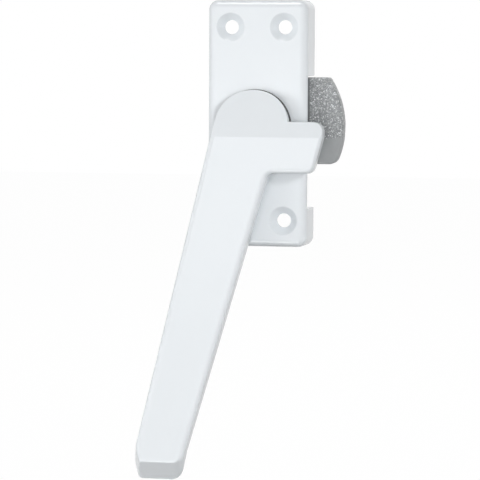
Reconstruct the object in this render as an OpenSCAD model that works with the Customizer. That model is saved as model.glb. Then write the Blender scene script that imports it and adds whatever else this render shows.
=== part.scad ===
// Window latch for an outward-opening sash: a hollow cast base plate, a lever handle
// on a square spindle, and a cam that swings out through a slot in the plate's side.
// X runs right, Y into the sash and Z up, with the mounting plane at Y = 0.
// Each piece is drawn lying on the mounting plane and then stood up by on_sash().

/* [Base plate] */
// Width across the side walls, just behind the front fillet
plate_w = 32.5; // [31:0.1:36]
// Height of the plate, just behind the front fillet
plate_h = 79.6; // [78:0.1:90]
// Depth from the mounting plane to the front face
plate_d = 14; // [13.6:0.1:17]
// Thickness of the front skin
skin_t = 3; // [2.4:0.1:3.2]
// Thickness of the side walls
wall_t = 2.2; // [1.6:0.1:2.4]
// Radius of the corners seen from the front
corner_r = 3; // [2.8:0.1:6]
// Radius of the fillet round the front face
front_fillet = 2.6; // [1:0.1:2.6]
// Draft of the side walls, in degrees
wall_draft = 2; // [0.5:0.1:3]
// Thickness of the ribs in the back
rib_t = 1.8; // [1.2:0.1:2.4]
// How far the ribs stay in from the mounting plane
rib_inset = 2; // [0.5:0.1:4]
// Rounding between the skin and the walls inside the hollow
hollow_fillet = 0.8; // [0.4:0.1:1.2]

/* [Screw holes] */
// Spacing of the screw holes across the plate
screw_dx = 17.5; // [16:0.1:19]
// Spacing of the screw holes along the plate
screw_dz = 62.4; // [62:0.1:66]
// Diameter of the screw holes
screw_d = 4.6; // [4:0.1:5]
// Diameter of the countersinks at the front face
sink_d = 9.2; // [7:0.1:9.6]

/* [Slot for the cam] */
// Upper end of the slot, above the hub axis
slot_up = 16.3; // [16.1:0.1:18]
// Lower end of the slot, below the hub axis
slot_down = 26.7; // [24:0.1:28]
// Place of the stop lug on the left wall, below the hub axis
lug_drop = 19; // [17:0.5:22]
// Length of the stop lug along the wall
lug_len = 5; // [3:0.5:8]
// Gap between the cam and its stop, and between the cam and the ribs' sweep
stop_gap = 0.4; // [0.3:0.05:0.6]

/* [Hub] */
// Place of the hub axis across the plate, from its centre line
hub_x = -0.5; // [-1:0.1:0]
// Place of the hub axis along the plate, from the middle of the screws
hub_z = -0.7; // [-1.5:0.1:0]
// Radius of the handle's round hub
hub_r = 12.1; // [11:0.1:13]
// Height of the dark ring between plate and hub
ring_t = 2.9; // [2:0.1:4]
// How far that ring stays in from the hub's rim
ring_in = 0.2; // [0.1:0.05:0.8]
// Radius of the journal cast on the handle
journal_r = 6.2; // [5.8:0.1:7]
// Wall of the bush that is pressed into the plate
bush_wall = 1.8; // [1.2:0.1:2.5]
// Running clearance of the journal, on the radius
journal_play = 0.05; // [0.02:0.01:0.1]
// Running gap between faces that rub
run_gap = 0.1; // [0.05:0.05:0.2]

/* [Lever handle] */
// Thickness of the handle
handle_t = 6.8; // [6.8:0.1:9]
// Depth of the fillet round the front edges of the grip
grip_fillet = 1.3; // [0.8:0.1:2]
// Width of that fillet seen from the front
grip_round = 1.8; // [1:0.1:2.2]
// Share of that width at the ear's outer edge
ear_crisp = 0.6; // [0.5:0.05:1]
// How far the grip's sides draw in between back and front
grip_draft = 0.15; // [0:0.05:0.4]
// How far the sides tuck in towards the back of the handle
grip_back_r = 0.8; // [0.4:0.1:1.2]
// Height over which they tuck in
grip_back_h = 2.4; // [1:0.1:2.8]
// Slope of the hub's face from the ridge up to the rim, in degrees
hub_slope = 22.5; // [14:0.5:22.5]
// Distance of the ridge below the hub axis
ridge_drop = 3.2; // [2:0.1:4]
// Lean of the grip's left edge, in degrees from upright
grip_lean = 13.6; // [8:0.1:18]
// Lean of the grip's right edge, in degrees from upright
grip_lean_right = 16.4; // [14:0.1:18]
// Distance of the grip's tip below the hub axis
grip_drop = 116.5; // [90:0.1:130]
// Height above the tip where its left corner starts to draw in
tip_cut = 5.6; // [5:0.1:8]
// How far the tip's left corner has drawn in at the end
tip_in = 2.9; // [2:0.1:4.5]
// Height above the tip where its right edge turns more upright
tip_flare = 10.5; // [10:0.1:12]
// Lean of the right edge below that height, in degrees
tip_lean = 12; // [12:0.1:16]
// Rounding of the left shoulder above the tip, seen from the front
tip_shoulder_r = 8; // [4:0.5:9]
// Rounding of the tip's left corner, seen from the front
tip_left_r = 2; // [1:0.1:3]
// Rounding of the tip's right corner, seen from the front
tip_r = 4.4; // [3:0.1:5]
// How far the tip's bevelled end runs back from the front face
tip_bevel = 7.2; // [2:0.1:8]
// Reach of the ear to the right of the hub axis
ear_reach = 23.4; // [20:0.1:26]
// Top of the ear above the hub axis
ear_rise = 1.8; // [1:0.1:4]
// Bottom of the ear below the hub axis
ear_drop = 14.8; // [12:0.1:18]
// Lean of the ear's outer edge, in degrees from upright
ear_lean = 15.5; // [8:0.5:22]
// Distance from the hub axis to the root where ear and grip meet
ear_root = 5.8; // [5.5:0.1:8]
// Rounding of the ear's upper corner
ear_r = 3.2; // [2.4:0.1:5]
// Rounding of the ear's lower corner
ear_low_r = 2.6; // [2:0.1:4]
// Rounding of the inner corner between ear and grip
root_r = 2.6; // [1:0.1:5]
// Wall left round the hollow in the grip's back
grip_wall = 2.6; // [2:0.1:3.5]
// Depth of the hollow in the grip's back
grip_core = 3; // [1:0.1:3.4]
// Rounding at the bottom of that hollow
core_fillet = 0.8; // [0.4:0.1:1]

/* [Spindle and fasteners] */
// Side of the square spindle
spindle_s = 7; // [6:0.1:7.2]
// Depth of the spindle's socket in the handle, above the hub's underside
socket_depth = 3; // [2:0.1:3.6]
// Clearance between the spindle and its square holes
square_fit = 0.05; // [0.02:0.01:0.15]
// Diameter of the cross pin through journal and spindle
pin_d = 2.5; // [1.5:0.1:2.8]
// How far the pin's ends stay inside the journal
pin_sunk = 0.3; // [0.2:0.1:1]
// Thickness of the thrust washer between cam and plate
thrust_t = 0.5; // [0.3:0.1:0.8]
// Outer radius of the thrust washer
thrust_r = 11; // [9.5:0.1:12]
// Free height of the wave spring washer in its place
wave_h = 0.7; // [0.6:0.05:0.9]
// Sheet thickness of the wave spring washer
wave_t = 0.3; // [0.2:0.05:0.4]
// Outer radius of the wave spring washer
wave_r = 8.2; // [7.5:0.1:9.5]
// Clearance of the washers round what they sit on
washer_play = 0.15; // [0.1:0.05:0.3]
// Thickness of the retaining washer
retainer_t = 0.8; // [0.6:0.1:1]
// Outer radius of the retaining washer
retainer_r = 8.6; // [8.2:0.1:10]
// Thickness of the split lock washer
lock_t = 0.8; // [0.6:0.1:0.9]
// Diameter of the screw's thread
thread_d = 4; // [3:0.5:4]
// Height of the screw's low head
head_t = 1.6; // [1.2:0.1:1.8]
// Radius of the screw's head
head_r = 3.8; // [3.2:0.1:4.5]
// Length of the screw under its head
screw_len = 9; // [6:0.5:9]
// Chamfer on the screw's head and at its end
screw_chamfer = 0.4; // [0.2:0.1:0.6]
// Width of the hexagon socket across its corners
socket_w = 3.4; // [2.5:0.1:4.2]
// Depth of the hexagon socket
socket_h = 1.1; // [0.6:0.1:1.2]
// Width of the lock washer's slit
slit_w = 0.8; // [0.4:0.1:1.2]

/* [Cam] */
// Radius of the cam's outer edge about the hub axis
cam_r = 28.3; // [26:0.1:28.5]
// Height of the cam's flat top above the hub axis
cam_up = 15.9; // [15:0.1:15.9]
// Depth of the cam's straight bottom below the hub axis
cam_down = 12.2; // [11:0.1:12.6]
// Thickness of the cam
cam_t = 6; // [5:0.1:6]
// Radius of the cam's round boss on the spindle
cam_boss_r = 10; // [9:0.1:11]
// Rounding of the cam's lower corner
cam_low_r = 3; // [1.5:0.1:5]
// Rounding of the cam's upper corner
cam_top_r = 1; // [0.5:0.1:3]

/* [Hidden] */
$fn = 96;
// Steps along a rounded corner and along a fillet
corner_n = 6;
fillet_n = 5;
// Overlap that lets cuts pass clean through a face, and a small one for shaped cuts
cut = 1;
eps = 0.01;

// Heights above the mounting plane, from the skin backwards and forwards
skin_in = plate_d - skin_t;
thrust_low = skin_in - thrust_t;
cam_top = thrust_low - run_gap;
cam_low = cam_top - cam_t;
wave_low = cam_low - wave_h;
retainer_low = wave_low - retainer_t;
lock_low = retainer_low - lock_t;
head_low = lock_low - head_t;
ring_top = plate_d + ring_t;
hub_low = ring_top + run_gap;
handle_top = hub_low + handle_t;
socket_top = hub_low + socket_depth;

// Radii that follow from the journal
bush_bore = journal_r + journal_play;
bush_r = bush_bore + bush_wall;
spindle_corner = spindle_s * sqrt(2) / 2;
bore_r = thread_d / 2 + square_fit;
screw_top = lock_low + screw_len;
pin_z = plate_d - skin_t / 2 + pin_d / 2;

// How far the cam's level top and bottom run left past the hub axis
cam_top_left = 2;
cam_low_left = 1;
// Where its back runs into the boss, as shares of the boss's radius
cam_back = [[-0.9, 0.45], [-0.6, -0.8]];
// Waves round the spring washer, and steps round it
waves = 3;
wave_steps = 48;
// Slant of the lock washer's slit, in degrees
slit_slant = 20;

// Plan of the lever: the hub's arc is a rounded corner whose edges touch it at rim_start and rim_end
rim_start = asin(ear_rise / hub_r);
rim_end = 180 - grip_lean;
rim_mid = (rim_start + rim_end) / 2;
hub_corner = hub_r / cos(rim_end - rim_mid) * [cos(rim_mid), sin(rim_mid)];
left_dir = [-sin(grip_lean), -cos(grip_lean)];
right_dir = [sin(grip_lean_right), cos(grip_lean_right)];
hub_tangent = hub_r * [-cos(grip_lean), sin(grip_lean)];
function on_left(z) = hub_tangent + left_dir * (hub_tangent[1] - z) / cos(grip_lean);
function on_right(z) = [ear_root, -ear_drop] + right_dir * (z + ear_drop) / cos(grip_lean_right);
tip_right = on_right(tip_flare - grip_drop);
lever_plan = [
    hub_r * [cos(rim_start), sin(rim_start)],
    hub_corner,
    on_left(tip_cut - grip_drop),
    on_left(-grip_drop) + [tip_in, 0],
    tip_right - tip_flare * [tan(tip_lean), 1],
    tip_right,
    [ear_root, -ear_drop],
    [ear_reach - (ear_drop - ridge_drop) * tan(ear_lean), -ear_drop],
    [ear_reach, -ridge_drop],
    [ear_reach, ear_rise]];
lever_radii = [0, hub_r, tip_shoulder_r, tip_left_r, tip_r, root_r, root_r, ear_low_r, 0, ear_r];
// How each edge follows the fillet, and the bevel of the tip: left shoulder, tip
fillet_share = [1, 1, 1, 1, 1, 1, 1, ear_crisp, ear_crisp, 1];
shoulder_dir = unit([tip_in - tip_cut * tan(grip_lean), -tip_cut]);
shoulder_share = (tan(grip_lean) * -shoulder_dir[1] + shoulder_dir[0]);
bevel_share = [0, 0, shoulder_share, 1, 0, 0, 0, 0, 0, 0];
// Plan of the hollow in the grip's back, from below the ear to the tip
core_start = -ear_drop - root_r;
core_plan = [on_left(core_start), on_left(-grip_drop), on_right(-grip_drop), on_right(core_start)];

// Outlines: corner i lies between edge i - 1 and edge i, and edges run counter-clockwise
function before(i, n) = (i + n - 1) % n;
function unit(v) = v / norm(v);
function cross2(a, b) = a[0] * b[1] - a[1] * b[0];
function left_of(v) = [-v[1], v[0]];
function turned(v, angle) = cos(angle) * v + sin(angle) * left_of(v);
function edge_dir(p, i) = unit(p[(i + 1) % len(p)] - p[i]);
function turn(a, b) = atan2(cross2(a, b), a * b);
// Corner i after its two edges have moved inwards by their own insets
function moved_corner(p, i, inset) =
    let (j = before(i, len(p)), a = edge_dir(p, j), b = edge_dir(p, i))
    p[i] + (b * inset[j] - a * inset[i]) / cross2(a, b);
// Points of one corner rounded with radius r in n steps, between directions a and b
function rounded_corner(v, a, b, r, n) =
    let (angle = turn(a, b), start = v - a * r * tan(abs(angle) / 2))
    let (centre = start + sign(angle) * r * left_of(a))
    r == 0 ? [v] : [for (k = [0:n]) centre + turned(start - centre, angle * k / n)];
// A long arc, such as the hub's, takes more steps than a small corner
function corner_steps(a, b) = corner_n * (turn(a, b) > 120 ? 5 : 1);
// Radius of a corner once its edges have moved inwards
function moved_radius(r, angle, inset) = r == 0 ? 0 : angle < 0 ? r + inset : max(r - inset, 0.3);
// Whole outline, inset edge by edge and rounded
function outline(p, radii, inset) = [
    for (i = [0:len(p) - 1])
        let (j = before(i, len(p)), a = edge_dir(p, j), b = edge_dir(p, i))
        let (r = moved_radius(radii[i], turn(a, b), min(inset[i], inset[j])))
        each rounded_corner(moved_corner(p, i, inset), a, b, r, corner_steps(a, b))];
function same(value, count) = [for (i = [1:count]) value];
function rect(w, h) = [[-w, -h] / 2, [w, -h] / 2, [w, h] / 2, [-w, h] / 2];

// Solid through a stack of outlines with equal numbers of points, each at its own height.
// The middle is a point from which both end faces can be seen whole.
module loft(rings, heights, middle = [0, 0]) {
    m = len(rings[0]);
    top = len(rings) - 1;
    floor_mid = (top + 1) * m;
    points = concat(
        [for (i = [0:top]) for (q = rings[i]) [q[0], q[1], heights[i]]],
        [[middle[0], middle[1], heights[0]], [middle[0], middle[1], heights[top]]]);
    sides = [for (i = [0:top - 1]) for (j = [0:m - 1])
        let (k = (j + 1) % m, low = i * m, high = low + m)
        each [[low + j, high + j, high + k], [low + j, high + k, low + k]]];
    ends = [for (j = [0:m - 1])
        let (k = (j + 1) % m)
        each [[floor_mid, j, k], [floor_mid + 1, top * m + k, top * m + j]]];
    polyhedron(points, concat(ends, sides));
}

// Stands a piece up on the sash, so that its height points to the front
module on_sash() {
    rotate([90, 0, 0]) children();
}

// Moves a piece to the hub axis
module at_hub(height = 0) {
    translate([hub_x, hub_z, height]) children();
}

// Round washer between two heights
module ring(r_in, r_out, low, high) {
    translate([0, 0, low]) difference() {
        cylinder(r = r_out, h = high - low);
        translate([0, 0, -cut]) cylinder(r = r_in, h = high - low + 2 * cut);
    }
}

// Square bar along the hub axis
module square_bar(side, low, high) {
    translate([-side / 2, -side / 2, low]) cube([side, side, high - low]);
}

// Plate as a drafted block with a filleted front edge
module plate_shell() {
    spread = (plate_d - front_fillet) * tan(wall_draft);
    insets = concat([-spread], [for (k = [0:fillet_n]) front_fillet * (1 - cos(90 * k / fillet_n))]);
    heights = concat([0], [for (k = [0:fillet_n]) plate_d - front_fillet * (1 - sin(90 * k / fillet_n))]);
    plan = rect(plate_w, plate_h);
    loft([for (d = insets) outline(plan, same(corner_r, 4), same(d, 4))], heights);
}

// Hollow in the back of the plate, wall_t inside the outer shell
module plate_hollow() {
    spread = skin_in * tan(wall_draft);
    plan = rect(plate_w - 2 * wall_t, plate_h - 2 * wall_t);
    rings = [for (d = [-spread, 0, hollow_fillet]) outline(plan, same(corner_r, 4), same(d, 4))];
    loft(rings, [-eps, skin_in - hollow_fillet, skin_in]);
}

// Ribs across and along the hollow, clear of the cam's sweep
module plate_ribs() {
    cross_z = hub_z + slot_up + stop_gap;
    inside_w = plate_w - wall_t;
    end_z = (plate_h - wall_t) / 2;
    sweep_z = cam_r + stop_gap - hub_z;
    rib_h = skin_in + skin_t / 2 - rib_inset;
    translate([-inside_w / 2, cross_z, rib_inset]) cube([inside_w, rib_t, rib_h]);
    translate([-rib_t / 2, cross_z, rib_inset]) cube([rib_t, end_z - cross_z, rib_h]);
    translate([-rib_t / 2, -end_z, rib_inset]) cube([rib_t, end_z - sweep_z, rib_h]);
    // Lug on the left wall that stops the cam when the latch is open
    lug_x = -plate_w / 2 + wall_t / 2;
    lug_w = hub_x - cam_down - stop_gap - lug_x;
    translate([lug_x, hub_z - lug_drop, cam_low]) cube([lug_w, lug_len, skin_in + skin_t / 2 - cam_low]);
}

// Countersunk hole through the skin
module screw_hole() {
    sink_h = (sink_d - screw_d) / 2;
    cylinder(d = screw_d, h = plate_d + cut);
    translate([0, 0, plate_d - sink_h]) cylinder(d1 = screw_d, d2 = sink_d, h = sink_h);
    translate([0, 0, plate_d]) cylinder(d = sink_d, h = cut);
}

module base_plate() {
    color("#f3f6f8") on_sash() difference() {
        union() {
            difference() {
                plate_shell();
                plate_hollow();
            }
            plate_ribs();
        }
        for (x = [-1, 1], z = [-1, 1])
            translate([x * screw_dx / 2, z * screw_dz / 2, 0]) screw_hole();
        at_hub(skin_in - cut) cylinder(r = bush_r, h = skin_t + 2 * cut);
        // Slot in the right wall, open to the back
        translate([plate_w / 2 - 2 * wall_t, hub_z - slot_down, -cut])
            cube([4 * wall_t, slot_up + slot_down, skin_in + cut]);
    }
}

// Dark bush: a thick ring under the hub with a barrel pressed into the plate
module hub_bush() {
    color("#1b1c1e") on_sash() at_hub() rotate_extrude() polygon([
        [bush_bore, skin_in],
        [bush_r, skin_in],
        [bush_r, plate_d],
        [hub_r - ring_in, plate_d],
        [hub_r - ring_in, ring_top],
        [bush_bore, ring_top]]);
}

module thrust_washer() {
    color("#d9d4c4") on_sash() at_hub() ring(bush_bore + washer_play, thrust_r, thrust_low, skin_in);
}

// Lever as drawn, with filleted front, drafted sides and bevelled tip
module lever_body() {
    bevel = tip_bevel / handle_t;
    back = [for (k = [0:2]) [grip_back_r * (1 - sin(45 * k)), grip_back_h * (1 - cos(45 * k))]];
    front = [for (k = [0:fillet_n])
        let (angle = 90 * k / fillet_n)
        [grip_draft + grip_round * (1 - cos(angle)), handle_t - grip_fillet * (1 - sin(angle))]];
    steps = concat(back, front);
    rings = [for (s = steps)
        let (insets = [for (i = [0:len(lever_plan) - 1])
            max(bevel * s[1] * bevel_share[i], s[0] * fillet_share[i])])
        outline(lever_plan, lever_radii, insets)];
    loft(rings, [for (s = steps) hub_low + s[1]], [-hub_r * 0.55, -ear_drop * 0.6]);
}

// Hollow in the grip's back, tapered as a casting core is
module lever_core() {
    bevel = tip_bevel / handle_t;
    steps = [
        [grip_wall, -eps],
        [grip_wall + grip_draft, grip_core - core_fillet],
        [grip_wall + grip_draft + core_fillet, grip_core]];
    rings = [for (s = steps)
        outline(core_plan, same(tip_r + 1, 4), [s[0], s[0] + bevel * max(s[1], 0), s[0], s[0]])];
    loft(rings, [for (s = steps) hub_low + s[1]], (core_plan[0] + core_plan[2]) / 2);
}

module lever_handle() {
    reach = 2 * grip_drop;
    color("#f4f6f8") on_sash() at_hub() difference() {
        union() {
            difference() {
                lever_body();
                // Everything in front of the plane that slopes from the ridge to the rim
                translate([0, -ridge_drop, handle_top]) rotate([-hub_slope, 0, 0])
                    translate([-reach / 2, 0, 0]) cube([reach, reach, reach]);
            }
            translate([0, 0, thrust_low - run_gap / 2])
                cylinder(r = journal_r, h = hub_low - thrust_low + run_gap);
        }
        lever_core();
        square_bar(spindle_s + 2 * square_fit, thrust_low - cut, socket_top + square_fit);
        translate([-hub_r, 0, pin_z]) rotate([0, 90, 0]) cylinder(d = pin_d, h = 2 * hub_r);
    }
}

module square_spindle() {
    color("#b9bcc0") on_sash() at_hub() difference() {
        square_bar(spindle_s, wave_low, socket_top);
        translate([0, 0, wave_low - cut]) cylinder(r = bore_r, h = screw_top + pin_sunk - wave_low + cut);
        translate([-spindle_s, 0, pin_z]) rotate([0, 90, 0]) cylinder(d = pin_d, h = 2 * spindle_s);
    }
}

module spindle_pin() {
    pin_len = 2 * (journal_r - pin_sunk);
    color("#8d9094") on_sash() at_hub() translate([-pin_len / 2, 0, pin_z]) rotate([0, 90, 0])
        cylinder(d = pin_d, h = pin_len);
}

// What a rounding leaves off between the cam's rim and a level edge at height z
module cam_corner(z, r) {
    side = sign(z);
    centre = [sqrt((cam_r - r) ^ 2 - (abs(z) - r) ^ 2), z - side * r];
    rim = centre * cam_r / (cam_r - r);
    far = 2 * cam_r * unit(rim);
    difference() {
        polygon([centre, [centre[0], z + side], [far[0], z + side], far]);
        translate(centre) circle(r = r);
    }
}

// Cam in plan: a sector about the spindle with a level top and bottom
module cam_plan() {
    difference() {
        union() {
            circle(r = cam_boss_r);
            intersection() {
                circle(r = cam_r);
                polygon([
                    [-cam_top_left, cam_up],
                    cam_boss_r * cam_back[0],
                    cam_boss_r * cam_back[1],
                    [-cam_low_left, -cam_down],
                    [cam_r + cut, -cam_down],
                    [cam_r + cut, cam_up]]);
            }
        }
        cam_corner(cam_up, cam_top_r);
        cam_corner(-cam_down, cam_low_r);
        square(spindle_s + 2 * square_fit, center = true);
    }
}

module cam() {
    color("#9b9d9e") on_sash() at_hub(cam_low) linear_extrude(cam_t) cam_plan();
}

// Wave spring washer, touching the cam and the retaining washer in turn
module wave_washer() {
    swing = (wave_h - wave_t) / 2;
    middle = wave_low + wave_h / 2;
    r_in = spindle_corner + washer_play;
    rim = [[r_in, -wave_t / 2], [wave_r, -wave_t / 2], [wave_r, wave_t / 2], [r_in, wave_t / 2]];
    points = [for (i = [0:wave_steps - 1]) for (q = rim)
        let (angle = 360 * i / wave_steps)
        [q[0] * cos(angle), q[0] * sin(angle), middle + q[1] + swing * cos(waves * angle)]];
    faces = [for (i = [0:wave_steps - 1]) for (k = [0:3])
        let (a = 4 * i, b = 4 * ((i + 1) % wave_steps), l = (k + 1) % 4)
        each [[a + k, a + l, b + l], [a + k, b + l, b + k]]];
    color("#c3c6c9") on_sash() at_hub() polyhedron(points, faces);
}

module retaining_washer() {
    color("#aeb1b4") on_sash() at_hub() ring(thread_d / 2 + washer_play, retainer_r, retainer_low, wave_low);
}

// Split washer, cut at a slant
module lock_washer() {
    color("#8f9296") on_sash() at_hub() difference() {
        ring(thread_d / 2 + washer_play, head_r, lock_low, retainer_low);
        translate([0, 0, lock_low - cut]) rotate([slit_slant, 0, 0]) translate([0, -slit_w / 2, -cut])
            cube([2 * head_r, slit_w, lock_t + 4 * cut]);
    }
}

// Low-head screw with a hexagon socket, turned in from the back
module cam_screw() {
    color("#a7aaad") on_sash() at_hub() difference() {
        union() {
            rotate_extrude() polygon([
                [0, head_low],
                [head_r - screw_chamfer, head_low],
                [head_r, head_low + screw_chamfer],
                [head_r, lock_low],
                [0, lock_low]]);
            translate([0, 0, lock_low]) cylinder(d = thread_d, h = screw_len - screw_chamfer);
            translate([0, 0, screw_top - screw_chamfer])
                cylinder(d1 = thread_d, d2 = thread_d - 2 * screw_chamfer, h = screw_chamfer);
        }
        translate([0, 0, head_low - cut]) cylinder(d = socket_w, h = socket_h + cut, $fn = 6);
    }
}

base_plate();
hub_bush();
thrust_washer();
lever_handle();
square_spindle();
spindle_pin();
cam();
wave_washer();
retaining_washer();
lock_washer();
cam_screw();
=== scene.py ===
# %% [markdown]
# # A white window latch
# The real latch is a hollow white casting that is screwed to a sash, a white lever handle in front of it,
# and a rough grey cam that swings out of a slot in the casting's side. This lesson dresses its CAD frame
# piece by piece: each piece is made in millimetres, lying on its back as on a bench, and stood up at the end.

# %% Load the frame
import math

import bmesh
import bpy
from mathutils import Matrix, Vector


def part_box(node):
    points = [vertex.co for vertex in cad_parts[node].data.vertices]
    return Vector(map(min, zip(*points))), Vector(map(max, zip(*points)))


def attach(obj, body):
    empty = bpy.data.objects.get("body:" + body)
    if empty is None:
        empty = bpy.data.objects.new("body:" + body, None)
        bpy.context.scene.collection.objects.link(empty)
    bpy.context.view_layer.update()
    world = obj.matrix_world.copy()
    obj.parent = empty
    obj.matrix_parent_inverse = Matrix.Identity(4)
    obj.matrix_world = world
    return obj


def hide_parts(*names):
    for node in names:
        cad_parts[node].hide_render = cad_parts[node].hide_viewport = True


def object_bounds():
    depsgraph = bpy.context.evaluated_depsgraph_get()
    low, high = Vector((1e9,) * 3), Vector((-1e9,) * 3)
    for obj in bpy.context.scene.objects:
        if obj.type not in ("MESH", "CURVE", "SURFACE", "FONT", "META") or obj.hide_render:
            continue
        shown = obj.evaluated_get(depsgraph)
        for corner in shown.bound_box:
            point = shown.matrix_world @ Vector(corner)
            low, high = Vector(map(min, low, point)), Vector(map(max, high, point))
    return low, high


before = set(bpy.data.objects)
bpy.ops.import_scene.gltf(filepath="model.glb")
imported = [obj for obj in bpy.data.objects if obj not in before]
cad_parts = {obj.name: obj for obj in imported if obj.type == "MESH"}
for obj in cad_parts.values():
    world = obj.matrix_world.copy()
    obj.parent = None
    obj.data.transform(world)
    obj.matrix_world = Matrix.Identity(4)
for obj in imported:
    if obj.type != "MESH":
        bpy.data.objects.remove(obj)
cad_box = [list(corner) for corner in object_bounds()]
print("CAD box in mm:", [[round(1000 * value, 1) for value in corner] for corner in cad_box])

# %% [markdown]
# ## Sizes
# The frame gives every node's box, but not its fillets and tapers. Those few sizes are repeated here in
# millimetres, so that each piece lands exactly on its CAD node. x runs right, y up and z to the front.

# %% Sizes of the latch in millimetres
PLATE_W, PLATE_H, PLATE_D = 32.5, 79.6, 14.0
SKIN, WALL, CORNER_R, FRONT_FILLET = 3.0, 2.2, 3.0, 2.6
DRAFT = math.tan(math.radians(2))
SKIN_IN = PLATE_D - SKIN
# Screw holes: spacing across and along, radius of bore and countersink
SCREW_DX, SCREW_DY, SCREW_R, SINK_R = 17.5, 62.4, 2.3, 4.6
HUB_X, HUB_Y, HUB_R, JOURNAL_R = -0.5, -0.7, 12.1, 6.2
# Heights off the sash, from the front of the handle down to the screw's head
HANDLE_TOP, HUB_LOW, RING_TOP = 23.8, 17.0, 16.9
THRUST_LOW, CAM_TOP, CAM_LOW = 10.5, 10.4, 4.4
WAVE_LOW, RETAINER_LOW, LOCK_LOW, HEAD_LOW = 3.7, 2.9, 2.1, 0.5
# Gap of a running fit, reach of a cutter past the skin, and what counts as touching
FIT, PAST, NEAR = 0.05, 1.0, 0.01
print("Front of the handle stands", HANDLE_TOP, "mm off the sash")

# %% [markdown]
# ## Outlines and lofts
# Cast pieces have rounded corners and tapered sides. A loft stacks the same rounded outline at several
# heights, drawn in a little further each time, which gives exact fillets. A bevel on a finished box could
# do the plate, but not the lever, whose tip draws in faster than its sides.

# %% Rounded outlines
LEAST_R, LONG_ARC = 0.3, math.radians(120)


def rounded(corner, a, b, radius, steps):
    """Points of one corner between the edge directions a and b."""
    if radius == 0:
        return [corner]
    angle = math.atan2(a.cross(b), a.dot(b))
    start = corner - a * radius * math.tan(abs(angle) / 2)
    side = math.copysign(1, angle)
    centre = start + Vector((-a.y, a.x)) * radius * side
    arm = start - centre
    turns = [angle * k / steps for k in range(steps + 1)]
    return [centre + arm * math.cos(t) + Vector((-arm.y, arm.x)) * math.sin(t) for t in turns]


def outline(plan, radii, insets=None, steps=10):
    """Counter-clockwise outline with each edge moved inwards by its own inset and each corner rounded."""
    plan = [Vector(p) for p in plan]
    count = len(plan)
    insets = insets or [0] * count
    edges = [(plan[(i + 1) % count] - plan[i]).normalized() for i in range(count)]
    points = []
    for i in range(count):
        a, b = edges[i - 1], edges[i]
        corner = plan[i] + (b * insets[i - 1] - a * insets[i]) / a.cross(b)
        convex = a.cross(b) > 0
        inset = min(insets[i], insets[i - 1])
        radius = radii[i] and (max(radii[i] - inset, LEAST_R) if convex else radii[i] + inset)
        long_arc = a.angle(b) > LONG_ARC
        points += rounded(corner, a, b, radius, steps * 5 if long_arc else steps)
    return points


def rectangle(w, h):
    """Corners of a rectangle about the origin."""
    return [(-w / 2, -h / 2), (w / 2, -h / 2), (w / 2, h / 2), (-w / 2, h / 2)]


print("A plate outline has", len(outline(rectangle(PLATE_W, PLATE_H), [CORNER_R] * 4)), "points")

# %% Meshes from outlines and profiles
def skinned(rings):
    """Closed mesh through rings of points, with one flat face at each end."""
    shape = bmesh.new()
    loops = [[shape.verts.new(point) for point in points] for points in rings]
    count = len(loops[0])
    for low, high in zip(loops, loops[1:]):
        for i in range(count):
            j = (i + 1) % count
            shape.faces.new((low[i], low[j], high[j], high[i]))
    shape.faces.new(list(reversed(loops[0])))
    shape.faces.new(loops[-1])
    bmesh.ops.recalc_face_normals(shape, faces=shape.faces)
    return shape


def lofted(rings):
    """Closed mesh through level rings, each an outline and its height."""
    return skinned([[(x, y, height) for x, y in points] for points, height in rings])


def spun(profile, steps=96):
    """Body of revolution about z from a closed profile of (radius, height)."""
    shape = bmesh.new()
    turns = [2 * math.pi * k / steps for k in range(steps)]
    loops = [[shape.verts.new((r * math.cos(t), r * math.sin(t), h)) for r, h in profile] for t in turns]
    count = len(profile)
    for k in range(steps):
        here, there = loops[k], loops[(k + 1) % steps]
        for i in range(count):
            j = (i + 1) % count
            if profile[i][0] > 0 or profile[j][0] > 0:
                shape.faces.new((here[i], there[i], there[j], here[j]))
    bmesh.ops.remove_doubles(shape, verts=shape.verts, dist=1e-5)
    bmesh.ops.dissolve_degenerate(shape, dist=1e-6, edges=shape.edges)
    bmesh.ops.recalc_face_normals(shape, faces=shape.faces)
    return shape


def block(low, high):
    """Box between two corners."""
    size = Vector(high) - Vector(low)
    shape = bmesh.new()
    place = Matrix.Translation((Vector(low) + Vector(high)) / 2) @ Matrix.Diagonal((*size, 1))
    bmesh.ops.create_cube(shape, size=1, matrix=place)
    return shape


def rod(radius, low, high, steps=96):
    """Round bar along z."""
    return spun([(0, low), (radius, low), (radius, high), (0, high)], steps)


def soft_ring(r_in, r_out, low, high, edge):
    """Washer whose four edges are rounded."""
    corners = [(r_in, low), (r_out, low), (r_out, high), (r_in, high)]
    return spun(outline(corners, [edge] * 4, steps=3))


# %% [markdown]
# ## Putting shapes together
# Holes and ribs are cut and joined with exact booleans, which keep the loft's clean rings. A sharp edge on a
# casting always has a small radius, so chosen edges are bevelled in the mesh.

# %% Booleans, bevels and hand-over
HUB_PLACE = Matrix.Translation((HUB_X, HUB_Y, 0))
STAND_UP = Matrix.Scale(0.001, 4) @ Matrix.Rotation(math.radians(90), 4, "X")


def bench_object(shape, name="blank"):
    """Object on the bench, in millimetres, from a bmesh or a mesh."""
    mesh = shape
    if isinstance(shape, bmesh.types.BMesh):
        mesh = bpy.data.meshes.new(name)
        shape.to_mesh(mesh)
        shape.free()
    piece = bpy.data.objects.new(name, mesh)
    bpy.context.scene.collection.objects.link(piece)
    return piece


def applied(piece):
    """Turns the evaluated piece into a plain mesh and removes its modifiers."""
    bpy.context.view_layer.update()
    mesh = bpy.data.meshes.new_from_object(piece.evaluated_get(bpy.context.evaluated_depsgraph_get()))
    piece.modifiers.clear()
    piece.data = mesh
    return piece


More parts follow.
